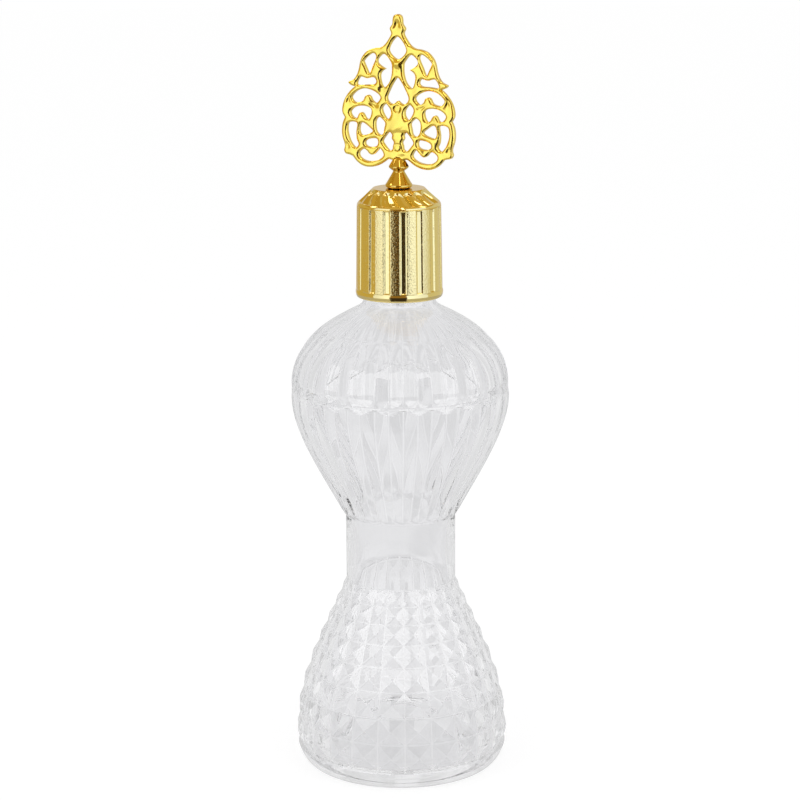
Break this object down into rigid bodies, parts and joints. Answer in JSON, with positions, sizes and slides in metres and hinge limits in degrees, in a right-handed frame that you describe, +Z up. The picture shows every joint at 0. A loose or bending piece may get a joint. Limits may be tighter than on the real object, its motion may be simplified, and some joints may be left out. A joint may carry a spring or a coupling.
{
  "type": "cologne bottle",
  "caption": "Hourglass clear glass cologne bottle with fluted bulb, diamond-studded skirt, gold screw cap and a pierced ornamental finial.",
  "frame": {"origin": "centre of the bottle's base on the surface it stands on", "axes": "+Z up the bottle's axis towards the finial; -Y is the side of the front mould seam; the closed cap stops with the finial's front turned 24.75 degrees from -Y towards -X"},
  "size_m": [0.0716, 0.0716, 0.251],
  "materials": {
    "clear_glass": "clear pressed glass, fire polished",
    "plug_plastic": "soft white polyethylene",
    "liner_foam": "white polyethylene foam",
    "insert_plastic": "white polypropylene",
    "cap_gold": "metallised gold, faint orange peel",
    "screw_steel": "zinc plated",
    "washer_rubber": "black",
    "stem_gold": "turned and gold plated",
    "ornament_gold": "cast and gold plated"
  },
  "bodies": {
    "bottle": {"glass_bottle": "clear_glass"},
    "dripper": {"dripper_plug": "plug_plastic"},
    "cap_seal": {"cap_liner": "liner_foam"},
    "cap_carrier": {"finial_washer": "washer_rubber"},
    "cap": {"cap_shell": "cap_gold", "cap_inner": "insert_plastic", "finial_screw": "screw_steel", "finial_stem": "stem_gold", "finial_ornament": "ornament_gold"}
  },
  "joints": [
    {"name": "dripper_pull", "type": "slide", "parent": "bottle", "child": "dripper", "axis": [0, 0, 1], "range_m": [0, 0.012]},
    {"name": "cap_lift", "type": "slide", "parent": "dripper", "child": "cap_seal", "axis": [0, 0, 1], "range_m": [0, 0.025]},
    {"name": "cap_rise", "type": "slide", "parent": "cap_seal", "child": "cap_carrier", "axis": [0, 0, 1], "range_m": [0, 0.0048]},
    {"name": "cap_turn", "type": "hinge", "parent": "cap_carrier", "child": "cap", "pos_m": [0, 0, 0.177], "axis": [0, 0, 1], "range_deg": [0, 540]}
  ],
  "couplings": [
    {"joint": "cap_rise", "follows": "cap_turn", "m_per_rad": 0.00050532}
  ]
}
